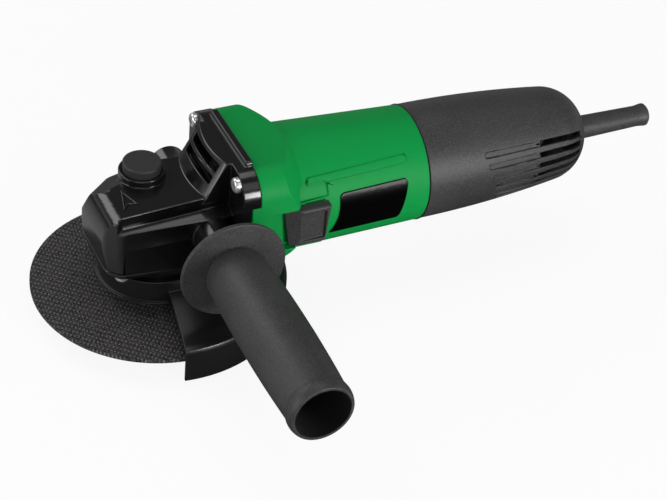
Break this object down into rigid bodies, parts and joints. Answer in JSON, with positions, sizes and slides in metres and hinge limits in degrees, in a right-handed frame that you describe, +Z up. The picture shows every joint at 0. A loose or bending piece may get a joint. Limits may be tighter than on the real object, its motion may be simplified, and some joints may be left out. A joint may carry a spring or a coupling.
{
  "type": "angle grinder",
  "caption": "Corded angle grinder with a cutting disc, half guard, side handle, spindle lock button and thumb slide switch on a round motor body.",
  "frame": {"origin": "centre of the spindle's free lower end", "axes": "+Z up the spindle into the tool, +X back along the motor to the cord, side handle on -Y"},
  "size_m": [0.3425, 0.2238, 0.0926],
  "materials": {
    "black_casting": "satin",
    "green_plastic": "satin",
    "grey_plastic": "fine texture",
    "black_plastic": "satin",
    "gloss_black": "gloss",
    "guard_paint": "satin",
    "disc_abrasive": "gritty resin and glass fibre",
    "plain_steel": "satin",
    "bearing_steel": "polished",
    "bright_screws": "zinc plated",
    "copper": "lacquered copper",
    "bush_bronze": "sintered bronze",
    "carbon": "pressed carbon"
  },
  "bodies": {
    "grinder_body": {"gear_housing": "black_casting", "bearing_retainer": "black_casting", "retainer_screws": "bright_screws", "housing_screws": "bright_screws", "lock_spring": "plain_steel", "spindle_bush": "bush_bronze", "bearing_circlip": "plain_steel", "motor_housing": "green_plastic", "name_plate": "gloss_black", "fan_baffle": "black_plastic", "front_bearing_plate": "plain_steel", "bearing_plate_screws": "bright_screws", "stator_core": "plain_steel", "stator_coils": "copper", "stator_screws": "bright_screws", "brush_holders": "black_plastic", "brushes": "carbon", "brush_springs": "plain_steel", "rear_cover": "grey_plastic", "rear_cover_screw": "bright_screws", "switch_body": "black_plastic", "cord_guard": "grey_plastic", "cord_clamp": "black_plastic", "cord_clamp_screws": "bright_screws", "spindle_bearing_outer": "bearing_steel", "spindle_bearing_balls": "bearing_steel", "front_bearing_outer": "bearing_steel", "front_bearing_balls": "bearing_steel", "rear_bearing_outer": "bearing_steel", "rear_bearing_balls": "bearing_steel"},
    "spindle": {"spindle": "plain_steel", "bevel_gear": "plain_steel", "gear_circlip": "plain_steel", "spindle_spacer": "plain_steel", "spindle_bearing_inner": "bearing_steel", "inner_flange": "plain_steel", "cutting_disc": "disc_abrasive", "disc_bore_ring": "plain_steel", "clamp_nut": "plain_steel"},
    "armature": {"armature_shaft": "plain_steel", "armature_core": "plain_steel", "armature_windings": "copper", "commutator": "copper", "fan": "black_plastic", "pinion": "plain_steel", "pinion_nut": "plain_steel", "front_bearing_inner": "bearing_steel", "rear_bearing_inner": "bearing_steel"},
    "lock_button": {"lock_button": "black_plastic", "lock_pin": "plain_steel", "lock_pin_clip": "plain_steel"},
    "switch_slider": {"switch_slider": "grey_plastic", "switch_rod": "black_plastic", "switch_lever": "black_plastic"},
    "guard": {"guard": "guard_paint", "guard_clamp_screw": "bright_screws", "guard_clamp_nut": "bright_screws"},
    "handle_stud": {"handle_stud": "plain_steel"},
    "handle_grip": {"handle_grip": "grey_plastic"}
  },
  "joints": [
    {"name": "spindle_spin", "type": "hinge", "parent": "grinder_body", "child": "spindle", "pos_m": [0, 0, 0], "axis": [0, 0, 1], "continuous": true},
    {"name": "armature_spin", "type": "hinge", "parent": "grinder_body", "child": "armature", "pos_m": [0, 0, 0.054], "axis": [1, 0, 0], "continuous": true},
    {"name": "lock_press", "type": "slide", "parent": "grinder_body", "child": "lock_button", "axis": [0, 0, -1], "range_m": [0, 0.0042], "stiffness_N_per_m": 600, "springref_m": -0.004, "deforming": ["lock_spring"]},
    {"name": "switch_slide", "type": "slide", "parent": "grinder_body", "child": "switch_slider", "axis": [-1, 0, 0], "range_m": [0, 0.006]},
    {"name": "guard_turn", "type": "hinge", "parent": "grinder_body", "child": "guard", "pos_m": [0, 0, 0], "axis": [0, 0, 1], "range_deg": [-60, 60]},
    {"name": "handle_advance", "type": "slide", "parent": "grinder_body", "child": "handle_stud", "axis": [0, -1, 0], "range_m": [0, 0.015]},
    {"name": "handle_turn", "type": "hinge", "parent": "handle_stud", "child": "handle_grip", "pos_m": [0.0191, 0, 0.054], "axis": [0, -1, 0], "range_deg": [0, 4330]}
  ],
  "couplings": [
    {"joint": "armature_spin", "follows": "spindle_spin", "ratio": 2.9167},
    {"joint": "handle_turn", "follows": "handle_advance", "rad_per_m": 5026.5}
  ]
}
